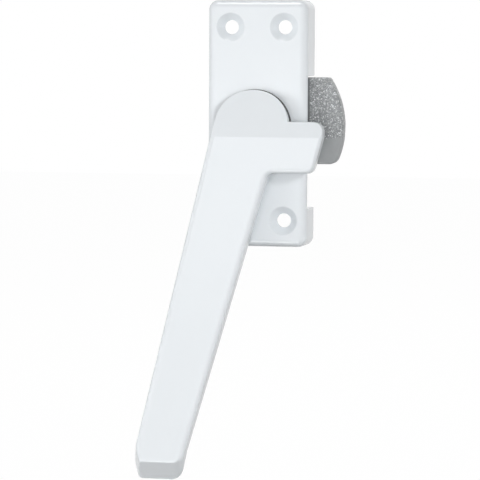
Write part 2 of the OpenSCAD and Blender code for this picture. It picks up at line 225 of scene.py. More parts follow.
def combined(piece, tool, operation):
    """Joins a tool to a piece or cuts it out, then throws the tool away."""
    if isinstance(tool, bmesh.types.BMesh):
        tool = bench_object(tool)
    step = piece.modifiers.new("shape", "BOOLEAN")
    step.operation, step.solver, step.object = operation, "EXACT", tool
    applied(piece)
    bpy.data.objects.remove(tool)
    return piece


def soften(piece, chosen, width, segments=3):
    """Bevels the edges that the test chooses, given their two ends and their angle."""
    shape = bmesh.new()
    shape.from_mesh(piece.data)
    bmesh.ops.dissolve_limit(shape, angle_limit=math.radians(0.1), verts=shape.verts, edges=shape.edges)
    edges = [e for e in shape.edges if len(e.link_faces) == 2]
    edges = [e for e in edges if chosen(e.verts[0].co, e.verts[1].co, math.degrees(e.calc_face_angle()))]
    bmesh.ops.bevel(shape, geom=edges, offset=width, segments=segments, profile=0.5, affect="EDGES",
                    clamp_overlap=False, loop_slide=True)
    bmesh.ops.recalc_face_normals(shape, faces=shape.faces)
    shape.to_mesh(piece.data)
    shape.free()
    return len(edges)


def hand_over(piece, node, body, finish, at_hub=True, sharp=35):
    """Smooths a piece, stands it up on the sash, puts it on its body, gives it its finish and hides its CAD
    node.
    """
    piece.name = piece.data.name = node + "_piece"
    piece.data.shade_smooth()
    if sharp:
        piece.data.set_sharp_from_angle(angle=math.radians(sharp))
        weigh = piece.modifiers.new("even", "WEIGHTED_NORMAL")
        weigh.keep_sharp = True
        applied(piece)
    piece.data.transform(STAND_UP @ HUB_PLACE if at_hub else STAND_UP)
    piece.data.materials.clear()
    piece.data.materials.append(FINISHES[finish])
    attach(piece, body)
    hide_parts(node)
    low, high = (Vector(c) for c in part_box(node))
    ends = [[f(v.co[i] for v in piece.data.vertices) for i in range(3)] for f in (min, max)]
    off = max(abs(a - b) for pair, cad in zip(ends, (low, high)) for a, b in zip(pair, cad))
    piece.data.calc_loop_triangles()
    print(f"{node}: {len(piece.data.loop_triangles)} triangles, box within {1000 * off:.2f} mm of the CAD")
    return piece


# %% [markdown]
# ## Shader arithmetic
# A finish is mostly sums of noise. Wrapping a socket in a small class lets those sums be written as
# ordinary Python, where 1 - grain adds the Math node by itself. Every other node comes from one method.

# %% Sockets that can be added and multiplied
class Wire:
    """An output socket whose sums and products become Math nodes."""

    def __init__(self, finish, socket):
        self.finish, self.socket = finish, socket

    def maths(self, operation, a, b):
        return self.finish.node("ShaderNodeMath", {"operation": operation}, {0: a, 1: b})

    def __add__(self, other):
        return self.maths("ADD", self, other)

    def __radd__(self, other):
        return self.maths("ADD", other, self)

    def __sub__(self, other):
        return self.maths("SUBTRACT", self, other)

    def __rsub__(self, other):
        return self.maths("SUBTRACT", other, self)

    def __mul__(self, other):
        return self.maths("MULTIPLY", self, other)

    def __rmul__(self, other):
        return self.maths("MULTIPLY", other, self)


class Finish:
    """A material whose nodes are added one call at a time."""

    def __init__(self, name):
        self.material = bpy.data.materials.new(name)
        self.material.use_nodes = True
        self.tree = self.material.node_tree
        self.shader = self.tree.nodes["Principled BSDF"]
        self.place = self.node("ShaderNodeTexCoord", output="Object")

    def node(self, kind, settings=None, values=None, output=0):
        made = self.tree.nodes.new(kind)
        for key, value in (settings or {}).items():
            if key == "stops":
                for at, level in value[len(made.color_ramp.elements):]:
                    made.color_ramp.elements.new(at)
                for stop, (at, level) in zip(made.color_ramp.elements, value):
                    stop.position, stop.color = at, (level, level, level, 1)
            else:
                setattr(made, key, value)
        for key, value in (values or {}).items():
            self.join(made.inputs[key], value)
        return Wire(self, made.outputs[output])

    def join(self, socket, value):
        if isinstance(value, Wire):
            self.tree.links.new(value.socket, socket)
        else:
            socket.default_value = value

    def noise(self, scale, detail=2.0, roughness=0.5, place=None):
        values = {"Vector": place or self.place, "Scale": scale, "Detail": detail, "Roughness": roughness}
        return self.node("ShaderNodeTexNoise", {"normalize": True}, values, "Fac")

    def ramp(self, wire, *stops):
        return self.node("ShaderNodeValToRGB", {"stops": stops}, {"Fac": wire})

    def span(self, wire, start, end, low=0.0, high=1.0):
        """Smooth step of a wire between two of its values."""
        values = {"Value": wire, "From Min": start, "From Max": end, "To Min": low, "To Max": high}
        return self.node("ShaderNodeMapRange", {"interpolation_type": "SMOOTHSTEP"}, values)

    def stretched(self, x, y, z):
        return self.node("ShaderNodeMapping", None, {"Vector": self.place, "Scale": (x, y, z)})

    def blend(self, factor, first, second):
        values = {"Factor": factor, 6: (*first, 1), 7: (*second, 1)}
        return self.node("ShaderNodeMix", {"data_type": "RGBA"}, values, 2)

    def bump(self, height, strength, distance):
        values = {"Strength": strength, "Distance": distance, "Height": height}
        return self.node("ShaderNodeBump", None, values)

    def shaded(self, **sockets):
        """Sets the shader's inputs by name and gives the material."""
        for key, value in sockets.items():
            self.join(self.shader.inputs[key.replace("_", " ")], value)
        return self.material


FINISHES = {}

# %% [markdown]
# ## White powder coat
# Both castings are powder coated: a cool white with a satin gloss, which sprays on in tiny droplets and
# melts into a skin like orange peel. Two noises make the peel, a slow one shifts colour and gloss a little.

# %% White powder coat
coat = Finish("white_powder_coat")
peel = coat.noise(1100, 2.0) * 0.7 + coat.noise(420, 1.0) * 0.3
drift = coat.noise(38, 3.0)
FINISHES["white_casting"] = coat.shaded(
    Base_Color=coat.blend(drift, (0.852, 0.890, 0.920), (0.886, 0.922, 0.950)),
    Roughness=0.14 + 0.08 * drift + 0.03 * peel,
    Normal=coat.bump(peel, 0.12, 0.00012),
)
print("Powder coat nodes:", len(coat.tree.nodes))

# %% [markdown]
# ## Rough cam casting
# The cam is left as cast and plated. Its skin is a mass of small facets, each cell with its own random tone,
# and
#  the top of the range is a painted highlight, the glint of facets turned towards the light.
# Below CALM the casting is smooth, apart from faint clouds, and a dark line of painted shade marks where it
# runs
#  under the edge of the plate's skin. The lumps are real geometry, made further down.

# %% Grey casting, in metres
CALM, CALM_BLUR, SKIN_EDGE, CAM_FRONT = -0.0043, 0.0012, 0.0163, -0.0104
cast = Finish("grey_casting")
across, depth, level = (
    cast.node("ShaderNodeSeparateXYZ", None, {"Vector": cast.place}, axis) for axis in "XYZ")
rough = cast.span(level + CALM_BLUR * cast.noise(500, 2.0), CALM, CALM + CALM_BLUR)
spread = {"Vector": cast.place, "Scale": 3100.0, "Randomness": 1.0}
cells = cast.node("ShaderNodeTexVoronoi", {"feature": "F1"}, spread, "Color")
facet = cast.node("ShaderNodeSeparateColor", None, {"Color": cells}, "Red")
grit = cast.noise(4200, 3.0, 0.6)
clouds = cast.noise(160, 3.0, 0.55)
# Painted highlight: the brightest cells' pale colour stands for glints; the same cells are also more metallic
# and glossier
glint_facets = cast.ramp(0.8 * facet + 0.2 * grit, (0.05, 0.0), (0.5, 0.11), (0.78, 0.27), (0.93, 1.0))
# Painted light and shade: the rough skin is darker towards the slot and lighter further out
painted_shade_across = cast.span(across, SKIN_EDGE, SKIN_EDGE + 0.010, -0.07, 0.05)
# Painted shade: a dark line on the cam's face where it runs under the edge of the plate's skin
slot_shade_depth = cast.span(depth, CAM_FRONT + 0.0009, CAM_FRONT + 0.0003)
painted_slot_shade = slot_shade_depth * cast.span(across, SKIN_EDGE + 0.0007, SKIN_EDGE + 0.0001)
tone = 0.345 + 0.3 * (clouds - 0.5) + rough * (1.3 * glint_facets - 0.25 + painted_shade_across)
FINISHES["cam_casting"] = cast.shaded(
    Base_Color=cast.blend(tone * (1 - painted_slot_shade), (0.165, 0.173, 0.177), (0.74, 0.76, 0.77)),
    Metallic=0.2 + 0.3 * rough * glint_facets,
    Roughness=0.55 - 0.2 * rough * glint_facets,
    Normal=cast.bump(rough * (facet * 0.6 + grit), 0.35, 0.00012),
)
print("Casting nodes:", len(cast.tree.nodes))

# %% [markdown]
# ## Nylons and steels
# The bush is black moulded nylon with a fine grain, the slip washer natural nylon, which is cream. Spindle,
# screw and retaining washer are zinc plated and keep faint drawing lines; the springs are darker steel.

# %% Black and natural nylon
black = Finish("black_nylon_grain")
grain = black.noise(1800, 2.0)
FINISHES["black_nylon"] = black.shaded(
    Base_Color=black.blend(grain, (0.010, 0.010, 0.011), (0.020, 0.020, 0.021)),
    Roughness=0.5 + 0.14 * grain,
    Normal=black.bump(grain, 0.2, 0.00006),
)
cream = Finish("natural_nylon_grain")
swirl = cream.noise(160, 4.0, 0.6)
FINISHES["natural_nylon"] = cream.shaded(
    Base_Color=cream.blend(swirl, (0.74, 0.70, 0.58), (0.82, 0.79, 0.69)),
    Roughness=0.36 + 0.14 * swirl,
    Normal=cream.bump(cream.noise(2200, 1.0), 0.1, 0.00005),
)
print("Nylons made")

# %% Plated steel and spring steel
def steel(name, dark, pale, gloss, along):
    """Bright metal with drawing lines along one axis and a cloudy plating."""
    metal = Finish(name)
    lines = metal.noise(1.0, 2.0, 0.6, metal.stretched(*along))
    cloud = metal.noise(130, 3.0)
    return metal.shaded(
        Base_Color=metal.blend(0.5 * lines + 0.5 * cloud, dark, pale),
        Metallic=1.0,
        Roughness=gloss + 0.16 * cloud + 0.08 * lines,
        Normal=metal.bump(lines, 0.12, 0.00004),
    )


FINISHES["plated_steel"] = steel(
    "zinc_plated_steel", (0.54, 0.55, 0.565), (0.70, 0.705, 0.71), 0.24, (2600, 160, 2600))
FINISHES["spring_steel"] = steel(
    "oiled_spring_steel", (0.34, 0.345, 0.36), (0.52, 0.52, 0.53), 0.26, (1500, 1500, 1500))
print("Finishes:", sorted(FINISHES))

# %% [markdown]
# ## The base plate
# The plate is one thin skin: ceiling of the hollow, inner walls, back rim, outer walls, front fillet, front
# face. All of them are rings of the same outline, so a single loft makes the whole shell with no boolean.

# %% Shell of the plate
def quarter(steps=6):
    """Quarter turn of a fillet, as pairs of 1 - cosine and 1 - sine."""
    turns = [math.radians(90) * k / steps for k in range(steps + 1)]
    return [(1 - math.cos(t), 1 - math.sin(t)) for t in turns]


plate_plan = rectangle(PLATE_W, PLATE_H)
hollow_plan = rectangle(PLATE_W - 2 * WALL, PLATE_H - 2 * WALL)


def plate_ring(plan, inset, height):
    """One ring of the shell, drawn in by the same inset all round."""
    return outline(plan, [CORNER_R] * 4, [inset] * 4), height


HOLLOW_FILLET, RIM_EDGE = 0.8, 0.35
out_spread = (PLATE_D - FRONT_FILLET) * DRAFT
in_spread = (SKIN_IN - HOLLOW_FILLET) * DRAFT
ceiling = [(HOLLOW_FILLET * s, SKIN_IN - HOLLOW_FILLET * c) for c, s in quarter()]
inner_rim = [(-in_spread - RIM_EDGE * c, RIM_EDGE * s) for c, s in quarter(3)]
outer_rim = [(-out_spread + RIM_EDGE * s, RIM_EDGE * c) for c, s in quarter(3)]
front = [(FRONT_FILLET * c, PLATE_D - FRONT_FILLET * s) for c, s in quarter(9)]
shell = [plate_ring(hollow_plan, *ring) for ring in ceiling + inner_rim]
shell += [plate_ring(plate_plan, *ring) for ring in outer_rim + front]
plate = bench_object(lofted(shell))
print("Shell rings:", len(shell), "faces:", len(plate.data.polygons))

# %% [markdown]
# Inside, one rib crosses the hollow above the cam, one runs up each end, and a lug on the left wall stops
# the cam when the latch is open. Their free edges are rounded before they are joined to the skin.

# %% Ribs and stop lug
SLOT_UP, SLOT_DOWN, STOP_GAP = 16.3, 26.7, 0.4
RIB, RIB_IN, RIB_EDGE, LUG_DOWN, LUG_UP = 1.8, 2.0, 0.5, 19, 14
CAM_R, CAM_UP, CAM_DOWN = 28.3, 15.9, 12.2
rib_x, end_y = (PLATE_W - WALL) / 2, (PLATE_H - WALL) / 2
rib_y = HUB_Y + SLOT_UP + STOP_GAP
sweep_y = CAM_R + STOP_GAP - HUB_Y
rib_top = SKIN_IN + SKIN / 2
ribs = [
    ((-rib_x, rib_y, RIB_IN), (rib_x, rib_y + RIB, rib_top)),
    ((-RIB / 2, rib_y, RIB_IN), (RIB / 2, end_y, rib_top)),
    ((-RIB / 2, -end_y, RIB_IN), (RIB / 2, -sweep_y, rib_top)),
    ((-rib_x, HUB_Y - LUG_DOWN, CAM_LOW), (HUB_X - CAM_DOWN - STOP_GAP, HUB_Y - LUG_UP, rib_top)),
]
for low, high in ribs:
    rib = bench_object(block(low, high))
    soften(rib, lambda a, b, angle: max(a.z, b.z) < low[2] + NEAR, RIB_EDGE)
    combined(plate, rib, "UNION")
print("Ribs joined:", len(ribs))

# %% [markdown]
# The four countersunk holes are the same cutter at the corners of a grid. That is a job for Geometry Nodes:
# a grid of two by two points, one cutter on each. The cutter's lip is rounded, as paint leaves it.

# %% Geometry Nodes by name
class Recipe:
    """A Geometry Nodes tree with named inputs."""

    def __init__(self, name, **sizes):
        self.tree = bpy.data.node_groups.new(name, "GeometryNodeTree")
        face = self.tree.interface
        face.new_socket("Geometry", in_out="INPUT", socket_type="NodeSocketGeometry")
        self.keys = {}
        for label, value in sizes.items():
            kind = "NodeSocketInt" if isinstance(value, int) else "NodeSocketFloat"
            item = face.new_socket(label.replace("_", " "), in_out="INPUT", socket_type=kind)
            self.keys[item.identifier] = value
        face.new_socket("Geometry", in_out="OUTPUT", socket_type="NodeSocketGeometry")
        self.inputs = self.tree.nodes.new("NodeGroupInput").outputs

    def node(self, kind, settings=None, values=None, output=0):
        made = self.tree.nodes.new(kind)
        for key, value in (settings or {}).items():
            setattr(made, key, value)
        for key, value in (values or {}).items():
            for one in value if isinstance(value, list) else [value]:
                if isinstance(one, bpy.types.NodeSocket):
                    self.tree.links.new(one, made.inputs[key])
                else:
                    made.inputs[key].default_value = one
        return made.outputs[output]

    def maths(self, operation, a, b=0.0):
        return self.node("ShaderNodeMath", {"operation": operation}, {0: a, 1: b})

    def served(self, piece, geometry):
        """Ends the tree, runs it on the piece and leaves a plain mesh."""
        real = self.node("GeometryNodeRealizeInstances", None, {"Geometry": geometry})
        self.tree.links.new(real, self.tree.nodes.new("NodeGroupOutput").inputs[0])
        step = piece.modifiers.new("recipe", "NODES")
        step.node_group = self.tree
        for key, value in self.keys.items():
            step[key] = value
        return applied(piece)


# %% Four countersinks on a grid
CUTTER_LOW, CUTTER_TOP, CUTTER_R, LIP_R = 8, 16, 6, 0.7
lip = [
    (0, CUTTER_LOW), (SCREW_R, CUTTER_LOW), (SCREW_R, PLATE_D - SINK_R + SCREW_R),
    (SINK_R, PLATE_D + NEAR), (CUTTER_R, PLATE_D + NEAR), (CUTTER_R, CUTTER_TOP), (0, CUTTER_TOP)]
sink = bench_object(spun(outline(lip, [0, 0, 0, LIP_R, 0, 0, 0], steps=5), 64))
recipe = Recipe("countersinks", Spacing_Across=SCREW_DX, Spacing_Along=SCREW_DY)
grid = recipe.node("GeometryNodeMeshGrid", None, {
    "Size X": recipe.inputs["Spacing Across"], "Size Y": recipe.inputs["Spacing Along"],
    "Vertices X": 2, "Vertices Y": 2})
four = recipe.node("GeometryNodeInstanceOnPoints", None, {
    "Points": grid, "Instance": recipe.inputs["Geometry"]})
recipe.served(sink, four)
print("Countersink cutters:", len(sink.data.polygons), "faces")
combined(plate, sink, "DIFFERENCE")

# %% [markdown]
# Last come the hole for the bush and the slot for the cam. The slot's mouth is the only raw edge that shows
# from the front, so its edges are bevelled where they meet the right wall.

# %% Bush hole, slot and hand-over of the plate
BUSH_R, SLOT_EDGE, MOUTH_IN, MOUTH_NEAR, MOUTH_ANGLE = 8.05, 0.3, 0.6, 0.05, 40
hole = rod(BUSH_R, SKIN_IN - PAST, PLATE_D + PAST)
hole.transform(HUB_PLACE)
combined(plate, hole, "DIFFERENCE")
slot_low, slot_high = HUB_Y - SLOT_DOWN, HUB_Y + SLOT_UP
slot = block((PLATE_W / 2 - 2 * WALL, slot_low, -PAST), (PLATE_W / 2 + 2 * WALL, slot_high, SKIN_IN))
combined(plate, slot, "DIFFERENCE")


def on_slot_mouth(a, b, angle):
    """True for sharp edges where the slot goes through the right wall."""
    in_wall = min(a.x, b.x) > PLATE_W / 2 - WALL - MOUTH_IN and max(a.z, b.z) < SKIN_IN + MOUTH_NEAR
    within = min(a.y, b.y) > slot_low - MOUTH_NEAR and max(a.y, b.y) < slot_high + MOUTH_NEAR
    return in_wall and within and angle > MOUTH_ANGLE


print("Slot edges softened:", soften(plate, on_slot_mouth, SLOT_EDGE))
hand_over(plate, "base_plate", "base", "white_casting", at_hub=False)

# %% [markdown]
# ## The lever handle
# Seen from the front the lever is a round hub, an ear on its right and a long grip that leans left and
# narrows. Its sides are one loft. The tip draws in faster than the sides, which makes the bevelled end, and a
# plane from the ridge up to the hub's rim slices off the sloping face.

# %% Plan of the lever
EAR_RISE, EAR_DROP, EAR_REACH, EAR_ROOT, RIDGE = 1.8, 14.8, 23.4, 5.8, 3.2
GRIP_DROP, TIP_CUT, TIP_IN, TIP_FLARE, TIP_BEVEL = 116.5, 5.6, 2.9, 10.5, 7.2
TIP_R, SHOULDER_R, CUT_R, SIDE_R, EAR_R = 4.4, 8.0, 2.0, 2.6, 3.2
SLOPE, lean_left, lean_right, lean_tip, lean_ear = (math.radians(a) for a in (22.5, 13.6, 16.4, 12, 15.5))
touch = Vector((-math.cos(lean_left), math.sin(lean_left))) * HUB_R
rim_start, rim_end = math.asin(EAR_RISE / HUB_R), math.pi - lean_left
rim_mid = (rim_start + rim_end) / 2
hub_corner = Vector((math.cos(rim_mid), math.sin(rim_mid))) * HUB_R / math.cos(rim_end - rim_mid)


def on_left(y):
    """Point of the grip's left side at a height."""
    return touch + Vector((-math.tan(lean_left), -1)) * (touch.y - y)


def on_right(y):
    """Point of the grip's right side at a height."""
    return Vector((EAR_ROOT, -EAR_DROP)) + Vector((math.tan(lean_right), 1)) * (y + EAR_DROP)


ear_foot = EAR_REACH - (EAR_DROP - RIDGE) * math.tan(lean_ear)
tip_right = on_right(TIP_FLARE - GRIP_DROP)
lever_plan = [
    (HUB_R * math.cos(rim_start), EAR_RISE), hub_corner, on_left(TIP_CUT - GRIP_DROP),
    on_left(-GRIP_DROP) + Vector((TIP_IN, 0)), tip_right - Vector((math.tan(lean_tip), 1)) * TIP_FLARE,
    tip_right, (EAR_ROOT, -EAR_DROP), (ear_foot, -EAR_DROP), (EAR_REACH, -RIDGE), (EAR_REACH, EAR_RISE)]
lever_radii = [0, HUB_R, SHOULDER_R, CUT_R, TIP_R, SIDE_R, SIDE_R, SIDE_R, 0, EAR_R]
half_way = -GRIP_DROP / 2
print("Grip is", round((on_right(half_way) - on_left(half_way)).x, 1), "mm wide half way down")

# %% Body of the lever
HANDLE_T, BACK_R, BACK_H = 6.8, 0.8, 2.4
GRIP_FILLET, GRIP_ROUND, GRIP_DRAFT, TIP_EDGE_R = 1.3, 1.8, 0.15, 1.2
bevel_rate = TIP_BEVEL / HANDLE_T
shoulder = Vector((TIP_IN - TIP_CUT * math.tan(lean_left), -TIP_CUT)).normalized()
bevel_share = [0, 0, shoulder.x - shoulder.y * math.tan(lean_left), 1, 0, 0, 0, 0, 0, 0]
fillet_share = [1, 1, 1, 1, 1, 1, 1, 0.6, 0.6, 1]
steps = [(BACK_R * s, BACK_H * c) for c, s in quarter(5)]
steps += [(GRIP_DRAFT + GRIP_ROUND * c, HANDLE_T - GRIP_FILLET * s) for c, s in quarter(9)]


def tip_inset(height):
    """How far the tip has drawn in at a height, with the bevel's front edge rounded."""
    rate = math.atan(bevel_rate)
    tangent = TIP_EDGE_R * math.tan((math.pi / 2 - rate) / 2)
    if height < HANDLE_T - tangent * math.cos(rate):
        return bevel_rate * height
    return TIP_BEVEL + tangent - math.sqrt(TIP_EDGE_R ** 2 - (height - HANDLE_T + TIP_EDGE_R) ** 2)


rings = []
for inset, height in steps:
    shares = zip(bevel_share, fillet_share)
    insets = [max(tip_inset(height) * bevel, inset * share) for bevel, share in shares]
    rings.append((outline(lever_plan, lever_radii, insets), HUB_LOW + height))
body = lofted(rings)
ridge_point, slope_normal = Vector((0, -RIDGE, HANDLE_TOP)), Vector((0, math.sin(SLOPE), math.cos(SLOPE)))
everything = body.verts[:] + body.edges[:] + body.faces[:]
sliced = bmesh.ops.bisect_plane(
    body, geom=everything, plane_co=ridge_point, plane_no=slope_normal, clear_outer=True)
rim = [e for e in sliced["geom_cut"] if isinstance(e, bmesh.types.BMEdge)]
bmesh.ops.edgeloop_fill(body, edges=rim)
bmesh.ops.recalc_face_normals(body, faces=body.faces)
lever = bench_object(body)
print("Sloping face has", len(rim), "edges")

# %% [markdown]
# The ridge and the rim are softened next: paint never leaves a knife edge, and the light line along the
# ridge in daylight comes from this small radius. Then the journal is joined on, and the hollow of the grip,
# the square socket and the pin hole are cut.

# %% Soft edges, journal, hollow and sockets
RIDGE_EDGE, RIM_SOFT, RIM_ANGLE, JOURNAL_EDGE = 0.5, 0.12, 30, 0.3


def on_slope(point):
    """True for a point in the plane of the sloping face."""
    return abs((point - ridge_point).dot(slope_normal)) < NEAR


def on_ridge(a, b, angle):
    """True for edges where the sloping face meets the front."""
    return all(on_slope(p) and abs(p.z - HANDLE_TOP) < NEAR for p in (a, b))


def on_rim(a, b, angle):
    """True for sharp edges round the sloping face."""
    return on_slope(a) and on_slope(b) and angle > RIM_ANGLE


ridge_count = soften(lever, on_ridge, RIDGE_EDGE)
print("Ridge edges:", ridge_count, "rim edges:", soften(lever, on_rim, RIM_SOFT, 2))
low, high = THRUST_LOW - FIT, HUB_LOW + FIT
journal = [(0, low), (JOURNAL_R, low), (JOURNAL_R, high), (0, high)]
combined(lever, spun(outline(journal, [0, JOURNAL_EDGE, 0, 0], steps=3)), "UNION")
CORE, CORE_WALL, CORE_FILLET, CORE_R = 3.0, 2.6, 0.8, TIP_R + 1
core_top = -EAR_DROP - CORE_WALL
core_plan = [on_left(core_top), on_left(-GRIP_DROP), on_right(-GRIP_DROP), on_right(core_top)]
core = [(CORE_WALL, -NEAR)]
core += [(CORE_WALL + GRIP_DRAFT + CORE_FILLET * c, CORE - CORE_FILLET * s) for c, s in quarter(5)]
core_rings = []
for inset, height in core:
    insets = [inset, inset + bevel_rate * max(height, 0), inset, inset]
    core_rings.append((outline(core_plan, [CORE_R] * 4, insets), HUB_LOW + height))
combined(lever, lofted(core_rings), "DIFFERENCE")
SQUARE, SOCKET_TOP, PIN_R, PIN_Z = 3.5, 20.0, 1.25, 13.75
side = SQUARE + FIT
combined(lever, block((-side, -side, THRUST_LOW - PAST), (side, side, SOCKET_TOP + FIT)), "DIFFERENCE")
CROSSWISE = Matrix.Translation((0, 0, PIN_Z)) @ Matrix.Rotation(math.radians(90), 4, "Y")


def pin_drill(reach):
    """Cutter for the hole of the cross pin."""
    drill = rod(PIN_R, -reach, reach, 48)
    drill.transform(CROSSWISE)
    return drill


combined(lever, pin_drill(HUB_R), "DIFFERENCE")
hand_over(lever, "lever_handle", "lever", "white_casting")

# %% [markdown]
# ## Bush and slip washer
# The bush is turned or moulded round, so a spun profile is all it needs: a barrel that is pressed into the
# plate and a thick ring under the hub, which shows as a black crescent. Its edges are slightly broken.

# %% Hub bush and thrust washer
RING_IN, THRUST_GAP, THRUST_R, THRUST_EDGE = 0.2, 0.15, 11.0, 0.12
BORE_R, RING_R = JOURNAL_R + FIT, HUB_R - RING_IN
bush = [
    (BORE_R, SKIN_IN), (BUSH_R, SKIN_IN), (BUSH_R, PLATE_D),
    (RING_R, PLATE_D), (RING_R, RING_TOP), (BORE_R, RING_TOP)]
bush_edges = [0.25, 0.25, 0, 0.15, 0.25, 0.3]
bush_piece = bench_object(spun(outline(bush, bush_edges, steps=4), 160))
hand_over(bush_piece, "hub_bush", "base", "black_nylon")
thrust = bench_object(soft_ring(BORE_R + THRUST_GAP, THRUST_R, THRUST_LOW, SKIN_IN, THRUST_EDGE))
hand_over(thrust, "thrust_washer", "base", "natural_nylon")

# %% [markdown]
# ## The cam
# In plan the cam is a sector about the spindle with a level top and bottom, and its edges are rounded as
# a sand casting's are. Remeshing gives it even faces, and a Geometry Nodes recipe pushes them in by a few
# hundredths to tenths of a millimetre, never out, so that the rough cam still clears its slot.

# %% Outline of the cam
def arc(centre, radius, first, last, steps):
    """Points of an arc between two angles in degrees."""
    angles = [math.radians(first + (last - first) * k / steps) for k in range(steps + 1)]
    return [(centre[0] + radius * math.cos(t), centre[1] + radius * math.sin(t)) for t in angles]


LOW_R, TOP_R, CAM_EDGE = 3.0, 1.0, 0.7
# The boss round the spindle, between the ends of the level top and bottom
BOSS_R, BOSS_FROM, BOSS_TO, TOP_END, LOW_END = 10.0, 153.4, 233.1, -2, -1
low_mid = (math.sqrt((CAM_R - LOW_R) ** 2 - (CAM_DOWN - LOW_R) ** 2), LOW_R - CAM_DOWN)
top_mid = (math.sqrt((CAM_R - TOP_R) ** 2 - (CAM_UP - TOP_R) ** 2), CAM_UP - TOP_R)
low_angle, top_angle = (math.degrees(math.atan2(m[1], m[0])) for m in (low_mid, top_mid))
cam_outline = arc(low_mid, LOW_R, -90, low_angle, 8) + arc((0, 0), CAM_R, low_angle, top_angle, 40)[1:]
cam_outline += arc(top_mid, TOP_R, top_angle, 90, 6)[1:] + [(TOP_END, CAM_UP)]
cam_outline += arc((0, 0), BOSS_R, BOSS_FROM, BOSS_TO, 24) + [(LOW_END, -CAM_DOWN)]
cam = bench_object(lofted([(cam_outline, CAM_LOW), (cam_outline, CAM_TOP)]))
print("Cam edges rounded:", soften(cam, lambda a, b, angle: abs(a.z - b.z) < NEAR, CAM_EDGE, 4))
combined(cam, block((-side, -side, 0), (side, side, PLATE_D)), "DIFFERENCE")

# %% Rough skin of the cam
VOXEL, LUMP_SHARE, GRAIN_SHARE, CALM_SHARE = 0.3, 0.55, 0.45, 0.15
even = cam.modifiers.new("even", "REMESH")
even.mode, even.voxel_size = "VOXEL", VOXEL
applied(cam)
recipe = Recipe("cast_skin", Depth=0.16, Lump_Size=1.5, Grain_Size=0.6)
here = recipe.node("GeometryNodeInputPosition")
lump = recipe.node("ShaderNodeTexNoise", None, {
    "Vector": here, "Scale": recipe.maths("DIVIDE", 1.0, recipe.inputs["Lump Size"]), "Detail": 2.0})
fine = recipe.node("ShaderNodeTexVoronoi", None, {
    "Vector": here, "Scale": recipe.maths("DIVIDE", 1.0, recipe.inputs["Grain Size"])})
rough = recipe.maths(
    "ADD", recipe.maths("MULTIPLY", lump, LUMP_SHARE), recipe.maths("MULTIPLY", fine, GRAIN_SHARE))
rough = recipe.node("ShaderNodeClamp", None, {"Value": rough})
calm_y = 1000 * CALM - HUB_Y
calm = recipe.node("ShaderNodeMapRange", None, {
    "Value": recipe.node("ShaderNodeSeparateXYZ", None, {"Vector": here}, 1),
    "From Min": calm_y, "From Max": calm_y + 1.0, "To Min": CALM_SHARE, "To Max": 1.0})
rough = recipe.maths("MULTIPLY", rough, calm)
push = recipe.node("ShaderNodeVectorMath", {"operation": "SCALE"}, {
    0: recipe.node("GeometryNodeInputNormal"),
    "Scale": recipe.maths("MULTIPLY", rough, recipe.maths("MULTIPLY", recipe.inputs["Depth"], -1.0))})
moved = recipe.node("GeometryNodeSetPosition", None, {
    "Geometry": recipe.inputs["Geometry"], "Offset": push})
recipe.served(cam, moved)
hand_over(cam, "cam", "lever", "cam_casting", sharp=None)

# %% [markdown]
# ## Spindle and pin
# The spindle is a length of square bar. Its corners are drawn slightly round and its ends are broken; the
# screw's hole and the pin's hole are drilled into it. The pin is ground, with a chamfer at each end.

# %% Square spindle and its pin
BAR_EDGE, MOUTH_R, MOUTH_DEEP = 0.3, 2.6, 0.5
TAP_LOW, TAP_R, TAP_END, TAP_POINT = 3, 2.05, 11.4, 12.4
spindle = bench_object(block((-SQUARE, -SQUARE, WAVE_LOW), (SQUARE, SQUARE, SOCKET_TOP)))
soften(spindle, lambda a, b, angle: True, BAR_EDGE, 2)
bore = spun([
    (0, TAP_LOW), (MOUTH_R, TAP_LOW), (MOUTH_R, WAVE_LOW), (TAP_R, WAVE_LOW + MOUTH_DEEP),
    (TAP_R, TAP_END), (0, TAP_POINT)], 64)
combined(spindle, bore, "DIFFERENCE")
combined(spindle, pin_drill(2 * SQUARE), "DIFFERENCE")
hand_over(spindle, "square_spindle", "lever", "plated_steel")
PIN_SHORT, PIN_POINT, PIN_LEAD = 0.3, PIN_R - 0.3, 0.5
pin_end = JOURNAL_R - PIN_SHORT
half_pin = [(0, pin_end), (PIN_POINT, pin_end), (PIN_R, pin_end - PIN_LEAD)]
pin = spun([(r, -h) for r, h in half_pin] + half_pin[::-1], 48)
pin.transform(CROSSWISE)
hand_over(bench_object(pin), "spindle_pin", "lever", "spring_steel")

# %% [markdown]
# ## Spring washer
# The wave washer is a flat strip bent round a circle that rises and falls three times. Its shape follows a
# rule, so Geometry Nodes draw it: a circle, a cosine for the waves, and a strip swept along it.

# %% Wave washer from a swept strip
WAVE_GAP, WAVE_R_OUT, WAVE_H, WAVE_T, STRIP_EDGE = 0.15, 8.2, 0.7, 0.3, 0.06
WAVE_R_IN = SQUARE * math.sqrt(2) + WAVE_GAP
recipe = Recipe("wave_strip", Mid_Radius=(WAVE_R_IN + WAVE_R_OUT) / 2, Width=WAVE_R_OUT - WAVE_R_IN,
                Thickness=WAVE_T, Swing=(WAVE_H - WAVE_T) / 2, Waves=3, Segments=144)
circle = recipe.node("GeometryNodeCurvePrimitiveCircle", None, {
    "Resolution": recipe.inputs["Segments"], "Radius": recipe.inputs["Mid Radius"]})
turn = recipe.maths("MULTIPLY", recipe.node("GeometryNodeSplineParameter"), 2 * math.pi)
rise = recipe.maths("COSINE", recipe.maths("MULTIPLY", turn, recipe.inputs["Waves"]))
lift = recipe.node("ShaderNodeCombineXYZ", None, {
    "Z": recipe.maths("MULTIPLY", rise, recipe.inputs["Swing"])})
path = recipe.node("GeometryNodeSetPosition", None, {"Geometry": circle, "Offset": lift})
path = recipe.node("GeometryNodeSetCurveNormal", {"mode": "Z_UP"}, {"Curve": path})
